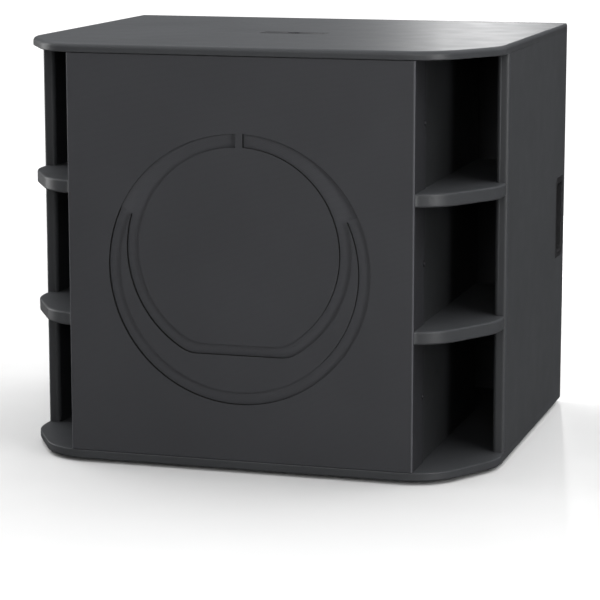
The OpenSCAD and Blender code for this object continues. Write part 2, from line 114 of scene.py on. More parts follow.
def turned(name, profile, centre, axis="y", steps=64):
    """A closed profile of (radius, along) turned about an axis through centre."""
    bm = bmesh.new()
    rings = []
    for radius, along in profile:
        if radius < 1e-9:
            rings.append([bm.verts.new((0, 0, along))] * steps)
            continue
        angles = [math.tau * k / steps for k in range(steps)]
        rings.append([bm.verts.new((radius * math.cos(a), radius * math.sin(a), along)) for a in angles])
    for a, b in zip(rings, rings[1:] + rings[:1]):
        for k in range(steps):
            corners = []
            for v in (a[k], a[(k + 1) % steps], b[(k + 1) % steps], b[k]):
                if v not in corners:
                    corners.append(v)
            if len(corners) > 2:
                bm.faces.new(corners)
    turn = {
        "z": lambda p: p,
        "y": lambda p: Vector((p.x, p.z, -p.y)),
        "x": lambda p: Vector((p.z, p.x, p.y)),
    }[axis]
    for v in bm.verts:
        v.co = turn(v.co) + Vector(centre)
    return link_object(name, bm)


def rod(name, centre, radius, low, high, axis="y", steps=48):
    """A round solid along an axis through centre."""
    return turned(name, [(0, low), (radius, low), (radius, high), (0, high)], centre, axis, steps)


def settle(obj):
    """Turns the object's modifiers into its mesh."""
    graph = bpy.context.evaluated_depsgraph_get()
    mesh = bpy.data.meshes.new_from_object(obj.evaluated_get(graph))
    obj.modifiers.clear()
    obj.data = mesh
    return obj


def merge(name, *objects):
    """One object from several, with their meshes side by side."""
    bm = bmesh.new()
    for obj in objects:
        bm.from_mesh(obj.data)
        bpy.data.objects.remove(obj)
    mesh = bpy.data.meshes.new(name)
    bm.to_mesh(mesh)
    bm.free()
    made = bpy.data.objects.new(name, mesh)
    bpy.context.scene.collection.objects.link(made)
    return made


def carve(obj, *tools, operation="DIFFERENCE"):
    """Cuts each tool out of obj, or joins it on, and uses the tool up."""
    for tool in tools:
        cut = obj.modifiers.new("carve", "BOOLEAN")
        cut.operation = operation
        cut.solver = "MANIFOLD"
        cut.object = tool
        settle(obj)
        bpy.data.objects.remove(tool)
    return obj


def soften(obj, width, segments=3, angle=32, weigh=None):
    """Rounds the sharp edges, each by width times its weight, and shades the faces smoothly between them."""
    bm = bmesh.new()
    bm.from_mesh(obj.data)
    weights = bm.edges.layers.float.new("bevel_weight_edge")
    for edge in bm.edges:
        if len(edge.link_faces) == 2 and edge.calc_face_angle(0) > math.radians(angle):
            edge[weights] = 1.0 if weigh is None else weigh((edge.verts[0].co + edge.verts[1].co) / 2)
            edge.smooth = edge[weights] > 0
    bm.to_mesh(obj.data)
    bm.free()
    for face in obj.data.polygons:
        face.use_smooth = True
    edges = obj.modifiers.new("soft edges", "BEVEL")
    edges.width = width
    edges.segments = segments
    edges.limit_method = "WEIGHT"
    edges.use_clamp_overlap = True
    edges.harden_normals = True
    return settle(obj)


def smooth(obj, angle=35):
    """Shades the faces smoothly, except across edges sharper than angle."""
    obj.data.shade_smooth()
    obj.data.set_sharp_from_angle(angle=math.radians(angle))
    return obj


def cad_copy(name):
    """The mesh of a CAD node, with its facets joined at their corners."""
    source = frame["nodes"][name]
    bm = bmesh.new()
    bm.from_mesh(source.data)
    bm.transform(source.matrix_world)
    bmesh.ops.remove_doubles(bm, verts=bm.verts, dist=0.000002)
    return bm


def wear(obj, material):
    obj.data.materials.clear()
    obj.data.materials.append(material)


def piece(obj, body, material, slot, *nodes):
    """Gives a finished mesh its material, its body and the CAD nodes that it stands for."""
    wear(obj, material)
    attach(obj, body)
    if nodes:
        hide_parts(*nodes)
        shown.difference_update(nodes)
    return obj


# ---------------------------------------------------------------- materials


class Shader:
    """A Principled material with helpers that add its nodes."""

    def __init__(self, name):
        self.material = bpy.data.materials.new(name)
        self.material.use_nodes = True
        self.tree = self.material.node_tree
        self.bsdf = self.tree.nodes["Principled BSDF"]
        self.where = self.tree.nodes.new("ShaderNodeTexCoord").outputs["Object"]

    def set(self, **values):
        for name, value in values.items():
            socket = "Specular IOR Level" if name == "specular" else name.capitalize()
            self.bsdf.inputs[socket].default_value = value

    def put(self, socket, value):
        if isinstance(value, (int, float, tuple)):
            socket.default_value = value
        else:
            self.tree.links.new(value, socket)

    def noise(self, scale, detail=3, roughness=0.5, where=None):
        node = self.tree.nodes.new("ShaderNodeTexNoise")
        self.put(node.inputs["Vector"], where or self.where)
        node.inputs["Scale"].default_value = scale
        node.inputs["Detail"].default_value = detail
        node.inputs["Roughness"].default_value = roughness
        return node.outputs["Fac"]

    def cells(self, scale, feature="F1"):
        node = self.tree.nodes.new("ShaderNodeTexVoronoi")
        node.feature = feature
        self.put(node.inputs["Vector"], self.where)
        node.inputs["Scale"].default_value = scale
        return node.outputs["Distance"]

    def stretch(self, x, y, z):
        node = self.tree.nodes.new("ShaderNodeMapping")
        self.put(node.inputs["Vector"], self.where)
        node.inputs["Scale"].default_value = (x, y, z)
        return node.outputs["Vector"]

    def remap(self, value, low, high, to_low, to_high):
        node = self.tree.nodes.new("ShaderNodeMapRange")
        self.put(node.inputs["Value"], value)
        for name, number in (("From Min", low), ("From Max", high), ("To Min", to_low), ("To Max", to_high)):
            node.inputs[name].default_value = number
        return node.outputs["Result"]

    def math(self, operation, a, b=0.0):
        node = self.tree.nodes.new("ShaderNodeMath")
        node.operation = operation
        self.put(node.inputs[0], a)
        self.put(node.inputs[1], b)
        return node.outputs[0]

    def mix(self, share, a, b):
        node = self.tree.nodes.new("ShaderNodeMix")
        node.data_type = "RGBA"
        self.put(node.inputs[0], share)
        self.put(node.inputs[6], a)
        self.put(node.inputs[7], b)
        return node.outputs[2]

    def times(self, a, b):
        return self.math("MULTIPLY", a, b)

    def parts(self, vector):
        """The X, Y and Z of a vector, by name."""
        node = self.tree.nodes.new("ShaderNodeSeparateXYZ")
        self.put(node.inputs[0], vector)
        return node.outputs

    def surface_normal(self):
        return self.tree.nodes.new("ShaderNodeNewGeometry").outputs["Normal"]

    def bump(self, height, strength, distance):
        node = self.tree.nodes.new("ShaderNodeBump")
        node.inputs["Strength"].default_value = strength
        node.inputs["Distance"].default_value = distance
        self.put(node.inputs["Height"], height)
        return node.outputs["Normal"]

    def worn_edges(self, reach=0.002):
        """1 on sharp outside edges, 0 on flat faces."""
        edge = self.tree.nodes.new("ShaderNodeBevel")
        edge.samples = 4
        edge.inputs["Radius"].default_value = reach
        flat = self.surface_normal()
        dot = self.tree.nodes.new("ShaderNodeVectorMath")
        dot.operation = "DOT_PRODUCT"
        self.put(dot.inputs[0], edge.outputs["Normal"])
        self.put(dot.inputs[1], flat)
        return self.remap(dot.outputs["Value"], 0.995, 0.85, 0.0, 1.0)

    def colour(self, value):
        self.put(self.bsdf.inputs["Base Color"], value)

    def rough(self, value):
        self.put(self.bsdf.inputs["Roughness"], value)

    def normal(self, value):
        self.put(self.bsdf.inputs["Normal"], value)


def tint(colour, by):
    """A colour made lighter or darker, with its alpha."""
    return tuple(min(1, c * by) for c in colour) + (1,)


def plain(name, colour, rough=0.5, metal=0.0, grain=900, depth=0.00008, specular=0.5):
    """A moulded, cast or painted surface: blotchy colour, uneven gloss and a fine grain."""
    s = Shader(name)
    s.set(metallic=metal, specular=specular)
    blotch = s.noise(55, 4)
    fine = s.noise(grain, 2)
    tone = s.remap(s.math("ADD", blotch, s.times(fine, 0.5)), 0.45, 1.05, 0.0, 1.0)
    s.colour(s.mix(tone, tint(colour, 0.82), tint(colour, 1.18)))
    s.rough(s.remap(s.noise(38, 3), 0.3, 0.7, rough - 0.08, rough + 0.08))
    s.normal(s.bump(fine, 0.6, depth))
    return s.material


def textured_paint(name, colour):
    """Rolled dark grey cabinet paint: a pebbled skin with small raised beads and rubbed edges."""
    s = Shader(name)
    s.set(specular=PAINT_SPECULAR)
    pebble = s.cells(430, "SMOOTH_F1")
    grain = s.noise(1100, 3)
    cloud = s.noise(7, 4, 0.5)
    height = s.math("ADD", s.remap(pebble, 0.0, 0.8, 1.0, 0.0), s.times(grain, 0.35))
    tone = s.remap(s.math("ADD", cloud, s.times(pebble, 0.3)), 0.4, 0.8, 0.0, 1.0)
    base = s.mix(tone, tint(colour, 0.95), tint(colour, 1.05))
    scuff = s.times(s.worn_edges(0.0025), s.remap(s.noise(130, 4), 0.42, 0.7, 0.0, 0.5))
    s.colour(s.mix(scuff, base, tint(colour, 2.0)))
    s.rough(s.remap(s.noise(24, 4), 0.3, 0.7, PAINT_ROUGH - 0.02, PAINT_ROUGH + 0.02))
    s.normal(s.bump(height, 0.4, 0.0001))
    return s.material


def hole_distance(s, place):
    """How far a point is from the nearest hole's centre in a staggered pattern, in hole pitches."""
    across = s.math("DIVIDE", place["X"], HOLE_PITCH)
    up = s.math("DIVIDE", place["Z"], HOLE_PITCH * math.sqrt(3))
    nearest = None
    for shift in (1000.0, 1000.5):      # the two sets of rows; the thousand keeps the fractions positive
        u = s.math("SUBTRACT", s.math("FRACT", s.math("ADD", across, shift)), 0.5)
        v = s.math("SUBTRACT", s.math("FRACT", s.math("ADD", up, shift)), 0.5)
        v = s.times(v, math.sqrt(3))
        gap = s.math("SQRT", s.math("ADD", s.times(u, u), s.times(v, v)))
        nearest = gap if nearest is None else s.math("MINIMUM", nearest, gap)
    return nearest


def perforated_coat():
    """Powder-coated steel with staggered round holes over black foam, on faces that look forward. The ring
    channel walls are painted shade near black, the channel floors get painted light, the rounded side edges
    get a painted highlight strip and the side flanks get painted shade.
    """
    s = Shader("perforated_coat")
    s.set(specular=COAT_SPECULAR, metallic=0.0)
    place, facing = s.parts(s.where), s.parts(s.surface_normal())
    forward = s.remap(facing["Y"], -0.75, -0.85, 0.0, 1.0)
    hole = s.times(s.remap(hole_distance(s, place), 0.34, 0.28, 0.0, 1.0), forward)
    inside = s.remap(s.math("ABSOLUTE", place["X"]), 0.236, 0.234, 0.0, 1.0)
    outside = s.math("SUBTRACT", 1.0, inside)
    channel_wall_painted_shade = s.times(s.remap(facing["Y"], -0.6, -0.4, 0.0, 1.0), inside)
    channel_floor_painted_light = s.times(s.remap(place["Y"], -0.281, -0.2775, 0.0, 1.0), forward)
    edge_painted_highlight = s.times(s.remap(facing["Y"], -0.985, -0.9, 0.0, 1.0), outside)
    flank = s.times(s.remap(facing["Y"], -0.55, -0.25, 0.0, 1.0), outside)
    coat = s.mix(s.remap(s.noise(7, 4), 0.35, 0.65, 0.0, 1.0), tint(COAT, 0.95), tint(COAT, 1.05))
    # painted light: the channel floors are lightened to make up for the shade that falls in them
    coat = s.mix(channel_floor_painted_light, coat, tint(COAT, CHANNEL_FLOOR_PAINTED_LIGHT))
    # painted highlight: a lighter strip along the rounded side edges of the grille
    coat = s.mix(edge_painted_highlight, coat, tint(COAT, EDGE_PAINTED_HIGHLIGHT))
    coat = s.mix(flank, coat, tint(COAT, FLANK_SHADE))
    coat = s.mix(hole, coat, tint(COAT, HOLE_SHADE))
    # painted shade: the ring channel walls are coloured near black, standing for the shade inside the grooves
    s.colour(s.mix(channel_wall_painted_shade, coat, (0.0008, 0.0008, 0.0008, 1)))
    rough = s.remap(s.noise(31, 3), 0.3, 0.7, COAT_ROUGH - 0.03, COAT_ROUGH + 0.03)
    s.rough(s.math("ADD", rough, s.times(s.math("MAXIMUM", s.times(hole, 0.3), channel_wall_painted_shade), 0.4)))
    s.normal(s.bump(s.math("SUBTRACT", s.times(s.noise(1500, 2), 0.12), hole), 0.2, 0.0002))
    return s.material


def foam_material(name, colour, scale):
    """Open foam or wadding: dark pores in a rough face."""
    s = Shader(name)
    s.set(specular=0.15)
    pores = s.cells(scale)
    s.colour(s.mix(s.remap(pores, 0.1, 0.6, 0.0, 1.0), tint(colour, 0.35), tint(colour, 1.3)))
    s.rough(s.remap(s.noise(60, 2), 0.3, 0.7, 0.9, 1.0))
    s.normal(s.bump(pores, 0.8, 0.0004))
    return s.material


def plywood():
    """Bare birch: long figure over the face, thin glue lines where plies show."""
    s = Shader("birch_plywood")
    s.set(specular=0.3)
    figure = s.noise(30, 5, 0.6, s.stretch(0.5, 1.0, 4.0))
    fibre = s.noise(260, 3, 0.6, s.stretch(0.06, 1.0, 1.0))
    tone = s.math("ADD", s.times(figure, 0.7), s.times(fibre, 0.3))
    s.colour(s.mix(tone, (0.42, 0.27, 0.14, 1), (0.74, 0.58, 0.38, 1)))
    s.rough(s.remap(figure, 0.3, 0.7, 0.5, 0.68))
    s.normal(s.bump(fibre, 0.3, 0.0002))
    return s.material


def woven(name, colour):
    """Doped cloth of the woofer's surround and spider."""
    s = Shader(name)
    s.set(specular=0.3)
    place = s.parts(s.where)
    across, up = (s.math("SINE", s.times(place[axis], math.tau / CLOTH_PITCH)) for axis in ("X", "Z"))
    weave = s.times(across, up)
    s.colour(s.mix(s.remap(weave, -1, 1, 0.0, 1.0), tint(colour, 0.7), tint(colour, 1.25)))
    s.rough(s.remap(s.noise(90, 2), 0.3, 0.7, 0.6, 0.8))
    s.normal(s.bump(weave, 0.4, 0.0002))
    return s.material


def brushed(name, colour, along, rough, metal=1.0):
    """Extruded or machined metal with fine lines along x or z."""
    s = Shader(name)
    s.set(metallic=metal)
    lines = s.noise(900, 3, 0.6, s.stretch(*((0.02, 1, 1) if along == "x" else (1, 1, 0.02))))
    s.colour(s.mix(lines, tint(colour, 0.8), tint(colour, 1.2)))
    s.rough(s.remap(lines, 0.3, 0.7, rough - 0.07, rough + 0.07))
    s.normal(s.bump(lines, 0.4, 0.00006))
    return s.material


PAINT = (0.034, 0.0355, 0.038)
# painted shade: a darker copy of the cabinet paint for the port walls and the baffle, standing for the dim
# light inside the ports
VENT_PAINTED_SHADE = (0.0195, 0.0205, 0.0215)
PAINT_ROUGH = 0.4
PAINT_SPECULAR = 0.4
COAT = (0.036, 0.0368, 0.041)
COAT_ROUGH = 0.5
COAT_SPECULAR = 0.4
HOLE_PITCH = 0.0018
CLOTH_PITCH = 0.0011
# How much lighter or darker than the coat each of these is; the channel floor is painted light, the edge is a
# painted highlight and the flank is painted shade:
CHANNEL_FLOOR_PAINTED_LIGHT = 1.38
EDGE_PAINTED_HIGHLIGHT = 1.9
FLANK_SHADE = 0.55
HOLE_SHADE = 0.55

paint = textured_paint("textured_paint", PAINT)
# painted shade: the darker vent copy of the cabinet paint
vent_painted_shade = textured_paint("vent_painted_shade", VENT_PAINTED_SHADE)
coat = perforated_coat()
moulded = plain("black_moulding", (0.012, 0.012, 0.013), 0.5, grain=1400)
rubber = plain("black_rubber", (0.014, 0.014, 0.014), 0.75, grain=700, specular=0.3)
zinc = plain("black_zinc", (0.10, 0.10, 0.11), 0.38, metal=0.9, grain=2500, depth=0.00003)
plate_coat = plain("plate_powder_coat", (0.014, 0.0145, 0.016), 0.48, grain=1900, depth=0.00006)
anodised = brushed("black_anodised_fins", (0.03, 0.03, 0.033), "z", 0.4, metal=0.6)
nickel = brushed("nickel_plate", (0.62, 0.61, 0.59), "x", 0.28)
contact = plain("contact_metal", (0.75, 0.72, 0.62), 0.25, metal=1.0, grain=3000, depth=0.00001)
knob_black = plain("soft_knob", (0.018, 0.018, 0.019), 0.62, grain=2600)
rocker_red = plain("red_rocker", (0.42, 0.012, 0.01), 0.3, grain=3000, depth=0.00002)
button_grey = plain("grey_button", (0.22, 0.22, 0.23), 0.45, grain=2600)
ink = plain("white_ink", (0.7, 0.7, 0.7), 0.6, grain=3000, depth=0.00001)

# ---------------------------------------------------------------- cabinet

TOP_LOW, TOP_HIGH = (edge.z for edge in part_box("top_panel"))
HALF_W, HALF_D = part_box("top_panel")[1].x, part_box("top_panel")[1].y
SIDE_INNER, SIDE_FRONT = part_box("right_side_panel")[0].x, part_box("right_side_panel")[0].y
CORNER_WIDTH, CORNER_DEPTH = 0.065, 0.110        # the sloped face of a front corner, along x and y
FRONT_ROUND, SIDE_ROUND = 0.082, 0.086           # the radius at each end of that face
CORNER_STEPS = 20


def corner(inset):
    """The curved right-hand front corner, from the front edge round to the side, drawn in by inset."""
    turn = math.atan2(CORNER_DEPTH, CORNER_WIDTH)
    front_x = HALF_W - CORNER_WIDTH - FRONT_ROUND * math.tan(turn / 2)
    side_y = CORNER_DEPTH + SIDE_ROUND * math.tan((math.pi / 2 - turn) / 2) - HALF_D
    points = []
    for x, y, radius, low, high in (
        (front_x, FRONT_ROUND - HALF_D, FRONT_ROUND, 0, turn),
        (HALF_W - SIDE_ROUND, side_y, SIDE_ROUND, turn, math.pi / 2),
    ):
        for k in range(CORNER_STEPS + 1):
            a = low + (high - low) * k / CORNER_STEPS
            points.append((x + (radius - inset) * math.sin(a), y - (radius - inset) * math.cos(a)))
    return points


def cabinet_outline():
    right = corner(0.0)
    left = [(-x, y) for x, y in reversed(right)]
    return right + [(HALF_W, HALF_D), (-HALF_W, HALF_D)] + left


POLE_Y = (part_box("pole_plate")[0].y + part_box("pole_plate")[1].y) / 2


def near_pole(p):
    """Whether a point is on or close to the seat of the pole plate."""
    return abs(p.x) < 0.06 and abs(p.y - POLE_Y) < 0.05


def lid_edges(joint, outer, inner):
    """Rounded front and corner edges, crisper outside edges, and no rounding where a lid meets the panels."""

    def weigh(p):
        if near_pole(p):
            return 0.05
        at_joint = abs(p.z - joint) < TOUCH
        if p.y < SIDE_FRONT - 0.001:
            return inner if at_joint else outer
        return 0.0 if at_joint else 0.3

    return weigh


def make_top():
    lid = prism("top_skin", cabinet_outline(), TOP_LOW, TOP_HIGH)
    plate_low, plate_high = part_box("pole_plate")
    seat = slab(
        "seat",
        (plate_low.x - 0.0004, plate_low.y - 0.0004, TOP_HIGH - 0.003),
        (plate_high.x + 0.0004, plate_high.y + 0.0004, TOP_HIGH + CLEAR),
    )
    middle = (plate_low + plate_high) / 2
    well = rod("well", (middle.x, middle.y, 0), 0.016, TOP_LOW - CLEAR, TOP_HIGH + CLEAR, "z")
    carve(lid, seat, well)
    soften(lid, 0.006, 6, weigh=lid_edges(TOP_LOW, 1.0, 0.25))
    return piece(lid, "cabinet", paint, "painted_ply", "top_panel")


def make_bottom():
    low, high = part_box("bottom_panel")
    floor_panel = prism("bottom_skin", cabinet_outline(), low.z, high.z)
    soften(floor_panel, 0.006, 6, weigh=lid_edges(high.z, 0.5, 0.2))
    return piece(floor_panel, "cabinet", paint, "painted_ply", "bottom_panel")


def grown(low, high, by):
    """Two corners (u, v) moved apart by by[0] and by[1]; a negative number moves them together."""
    return (low[0] - by[0], low[1] - by[1]), (high[0] + by[0], high[1] + by[1])


def make_side(side):
    name = "right" if side > 0 else "left"
    low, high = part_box(name + "_side_panel")
    panel = slab(name + "_side_skin", low, high)
    cup_low, cup_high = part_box(name + "_handle_cup")
    outer = side * HALF_W
    past = outer + side * CLEAR
    rebate_outline = rounded(*grown((cup_low.y, cup_low.z), (cup_high.y, cup_high.z), (0.0003, 0.0003)), 0.008)
    rebate = prism("rebate", rebate_outline, *sorted((outer - side * 0.002, past)), axis="x")
    near, far = sorted((outer - side * 0.03, past))
    hole_low, hole_high = grown((cup_low.y, cup_low.z), (cup_high.y, cup_high.z), (-0.0055, -0.006))
    hole = slab("hole", (near, *hole_low), (far, *hole_high))
    carve(panel, rebate, hole)

    def weigh(p):
        if not low.z + 0.001 < p.z < high.z - 0.001:
            return 0.0
        if p.y < low.y + TOUCH:
            return 1.0
        return 0.3 if p.y > high.y - TOUCH and abs(abs(p.x) - HALF_W) < TOUCH else 0.0

    soften(panel, 0.006, 6, weigh=weigh)
    return piece(panel, "cabinet", paint, "painted_ply", name + "_side_panel")


def make_rear():
    low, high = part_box("rear_panel")
    panel = slab("rear_skin", low, high)
    plate_low, plate_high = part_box("amp_panel")
    edge = grown((plate_low.x, plate_low.z), (plate_high.x, plate_high.z), (0.0015, 0.0015))
    carve(panel, prism("window", rounded(*edge, 0.004), low.y - CLEAR, high.y + CLEAR, axis="y"))
    soften(panel, 0.0018, 3, weigh=lambda p: 1.0 if abs(p.x) < 0.16 and 0.05 < p.z < 0.54 else 0.0)
    return piece(panel, "cabinet", paint, "painted_ply", "rear_panel")


def make_port_wall(name):
    low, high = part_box(name)
    wall = slab(name + "_skin", low, high)
    soften(wall, 0.0015, 3)
    # the port walls wear the darker vent paint, which is painted shade
    return piece(wall, "cabinet", vent_painted_shade, "painted_ply", name)


def make_shelf(name):
    low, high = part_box(name)
    inset = HALF_W - max(abs(low.x), abs(high.x))
    inner = min(abs(low.x), abs(high.x))
    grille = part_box("grille")[1]
    grille_side, grille_back = grille.x + 0.0003, grille.y + 0.0003
    curve = [(x, y) for x, y in corner(inset) if x > grille_side and y < SIDE_FRONT]
    points = [(grille_side, corner(inset)[0][1] + 0.0006)] + curve
    points += [(HALF_W - inset, SIDE_FRONT), (SIDE_INNER, SIDE_FRONT), (SIDE_INNER, high.y)]
    points += [(inner, high.y), (inner, grille_back), (grille_side, grille_back)]
    if low.x < 0:
        points = [(-x, y) for x, y in reversed(points)]

    def weigh(p):
        return 1.0 if p.y < SIDE_FRONT + 0.001 and abs(p.x) > grille_side + 0.0005 else 0.0

    shelf = prism(name + "_skin", points, low.z, high.z)
    soften(shelf, 0.005, 5, weigh=weigh)
    return piece(shelf, "cabinet", paint, "painted_ply", name)


make_top()
make_bottom()
for side in (-1, 1):
    make_side(side)
make_rear()
for name in ("left_port_wall", "right_port_wall"):
    make_port_wall(name)
for name in ("left_upper_shelf", "left_lower_shelf", "right_upper_shelf", "right_lower_shelf"):
    make_shelf(name)

# ---------------------------------------------------------------- grille

LARGE_RING = (0.2776, 0.183, 0.166)      # the height of its centre, its outer and its inner radius
SMALL_RING = (0.3025, 0.157, 0.140)
RING_FLAT = (0.1617, 0.1767)             # the heights of the small ring's flat bottom, outer and inner
BRIDGE = (-0.003, 0.007)                 # where the strip that crosses both rings starts and ends, in x
CHANNEL_DEPTH = 0.0056
SHEET = 0.0015


def flat_ring(z, radius, level, blend):
    """Outline of a circle cut off at a level below its centre, with its two corners rounded."""
    drop = level - z
    inner = radius - blend
    x = math.sqrt(inner * inner - (drop + blend) ** 2)
    start = math.atan2(drop + blend, x)
    points = []
    for k in range(151):
        turn = start + (math.pi - 2 * start) * k / 150
        points.append((radius * math.cos(turn), z + radius * math.sin(turn)))
    for side, first, last in ((-1, math.pi - start, 1.5 * math.pi), (1, -math.pi / 2, start)):
        for k in range(1, 12):
            turn = first + (last - first) * k / 12
            points.append((side * x + blend * math.cos(turn), z + drop + blend + blend * math.sin(turn)))
    return points


def ring_channels(front, back):
    """The two pressed ring channels as cutting solids, interrupted by the bridge at the top."""
    z, outer, inner = LARGE_RING
    large = rod("large", (0, 0, z), outer, front, back, "y", 240)
    carve(large, rod("core", (0, 0, z), inner, front - CLEAR, back + CLEAR, "y", 240))
    z, outer, inner = SMALL_RING
    small = prism("small", flat_ring(z, outer, RING_FLAT[0], 0.045), front, back + 0.00002, "y")
    carve(small, prism("core", flat_ring(z, inner, RING_FLAT[1], 0.040), front - CLEAR, back + CLEAR, "y"))
    for ring in (large, small):
        carve(ring, slab("bridge", (BRIDGE[0], front - CLEAR, 0.4), (BRIDGE[1], back + CLEAR, 0.5)))
    return large, small


def make_grille():
    low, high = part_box("grille")
    panel = slab("grille_skin", low, high)

    def weigh(p):
        if abs(p.y - low.y) > TOUCH:
            return 0.0
        return 1.0 if abs(abs(p.x) - high.x) < TOUCH else 0.1

    soften(panel, 0.0035, 5, weigh=weigh)
    inner_low = (low.x + SHEET, low.y + 0.0061, low.z + SHEET)
    inner_high = (high.x - SHEET, high.y + CLEAR, high.z - SHEET)
    carve(panel, slab("inside", inner_low, inner_high))
    carve(panel, *ring_channels(low.y - CLEAR, low.y + CHANNEL_DEPTH))
    smooth(panel, 32)
    flat = panel.modifiers.new("flat faces", "WEIGHTED_NORMAL")
    flat.keep_sharp = True
    settle(panel)
    return piece(panel, "cabinet", coat, "grille_steel", "grille")


make_grille()

# ---------------------------------------------------------------- small parts outside


def make_feet():
    """Round rubber feet, each with a dimple round its screw and an eased lower edge."""
    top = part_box("feet")[1].z
    profile = [(0.002, 0.0032), (0.0045, 0.003), (0.0045, 0.0004), (0.0050, 0.0)]
    profile += [(0.0188, 0.0), (0.0197, 0.0006), (0.02, 0.0016), (0.0196, top), (0.002, top)]
    places = [(x, y, 0) for x in (-0.255, 0.255) for y in (-0.215, 0.215)]
    parts = [smooth(turned("foot", profile, place, "z", 48), 50) for place in places]
    return piece(merge("rubber_feet", *parts), "cabinet", rubber, "foot_rubber", "feet")


def make_cup(side):
    """The hollow tub of a hand-hold with its thin flange."""
    name = "right" if side > 0 else "left"
    low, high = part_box(name + "_handle_cup")
    low, high = (low.y, low.z), (high.y, high.z)
    outer = side * HALF_W

    def solid(part, smaller_by, radius, start, depth):
        outline = rounded(*grown(low, high, smaller_by), radius)
        return prism(part, outline, *sorted((start, side * (HALF_W - depth))), axis="x")

    flange = solid("flange", (0, 0), 0.008, outer, 0.0019)
    carve(flange, solid("body", (-0.006, -0.0065), 0.005, outer - side * 0.001, 0.055), operation="UNION")
    carve(flange, solid("hollow", (-0.0085, -0.009), 0.006, outer + side * CLEAR, 0.0525))
    flange.name = name + "_hand_hold"
    soften(flange, 0.0008, 2)
    return piece(flange, "cabinet", moulded, "cup_plastic", name + "_handle_cup")


make_feet()
for side in (-1, 1):
    make_cup(side)

# ---------------------------------------------------------------- hardware with eased edges


def refined(name, body, material, slot, width):
    """A CAD node's own shape with its facets joined and its sharp edges eased."""
    bm = cad_copy(name)
    bmesh.ops.dissolve_limit(bm, angle_limit=math.radians(1), verts=bm.verts, edges=bm.edges)
    obj = link_object(name + "_finish", bm)
    soften(obj, width, 2)
    return piece(obj, body, material, slot, name)


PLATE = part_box("amp_panel")[1].y
KNOB_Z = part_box("level_knob")[0].z + 0.010
FLUTES, FLUTE_DEPTH = 24, 0.0004
KNOB_STEPS = 144


def make_knob(name):
    """A fluted grip on a skirt, dished at its end, with a white pointer in its groove."""
    low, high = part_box(name)
    x = (low.x + high.x) / 2
    base, end = PLATE + 0.0006, high.y
    levels = [(0.0099, base), (0.01, base + 0.0012), (0.0097, base + 0.002), (0.0081, base + 0.0024)]
    levels += [(0.0078, end - 0.0009), (0.0071, end - 0.0001), (0.0062, end)]
    levels += [(0.0052, end - 0.0006), (0.0, end - 0.0007)]
    bm = bmesh.new()
    rings = []
    for radius, y in levels:
        fluted = 0.0082 > radius > 0.0065
        ring = []
        for k in range(KNOB_STEPS):
            turn = math.tau * k / KNOB_STEPS
            reach = radius - (FLUTE_DEPTH * (0.5 + 0.5 * math.cos(FLUTES * turn)) if fluted else 0)
            ring.append(bm.verts.new((x + reach * math.cos(turn), y, KNOB_Z + reach * math.sin(turn))))
        rings.append(ring)
    for a, b in zip(rings, rings[1:]):
        for k in range(KNOB_STEPS):
            after = (k + 1) % KNOB_STEPS
            bm.faces.new((a[k], a[after], b[after], b[k]))
    bm.faces.new(rings[0])
    bmesh.ops.remove_doubles(bm, verts=bm.verts, dist=0.00001)
    grip = smooth(link_object(name + "_grip", bm), 40)
    shaft = rod("shaft", (x, 0, KNOB_Z), 0.003, low.y, base + 0.0005, "y", 32)
    piece(merge(name + "_grip", grip, shaft), name, knob_black, "knob_plastic", name)
    foot, tip = (x - 0.0006, end - 0.0012, KNOB_Z + 0.0012), (x + 0.0006, end - 0.00005, KNOB_Z + 0.0069)
    pointer = slab(name + "_pointer", foot, tip)
    soften(pointer, 0.0003, 2)
    piece(pointer, name, ink, "button_plastic")


def make_marks():
    """Printed scale ticks round the knobs, rules beside the sockets and a frame round the controls."""
    bars = []

    def rule(x, z, length, width, turn=0.0):
        across = Vector((math.cos(turn), 0, math.sin(turn)))
        up = Vector((-math.sin(turn), 0, math.cos(turn)))
        middle = Vector((x, 0, z))
        bm = bmesh.new()
        rings = []
        for y in (PLATE - 0.0002, PLATE + 0.00012):
            rings.append([
                bm.verts.new(middle + across * (i * length / 2) + up * (j * width / 2) + Vector((0, y, 0)))
                for i, j in ((-1, -1), (1, -1), (1, 1), (-1, 1))
            ])
        bm.faces.new(rings[0])
        bm.faces.new(rings[1])
        for k in range(4):
            bm.faces.new((rings[0][k], rings[0][(k + 1) % 4], rings[1][(k + 1) % 4], rings[1][k]))
        bars.append(link_object("rule", bm))

    for x in (0.050, 0.105):
        for k in range(11):
            turn = math.radians(240 - 30 * k)
            rule(x + 0.0135 * math.cos(turn), KNOB_Z + 0.0135 * math.sin(turn), 0.003, 0.0006, turn)
        for z in (0.4645, 0.3805):
            rule(x, z, 0.018, 0.0007)
    for z in (0.474, 0.256):
        rule(0.0775, z, 0.110, 0.0008)
    for x in (0.0225, 0.1325):
        rule(x, 0.365, 0.2188, 0.0008, math.pi / 2)
    piece(merge("panel_marks", *bars), "cabinet", ink, "button_plastic")


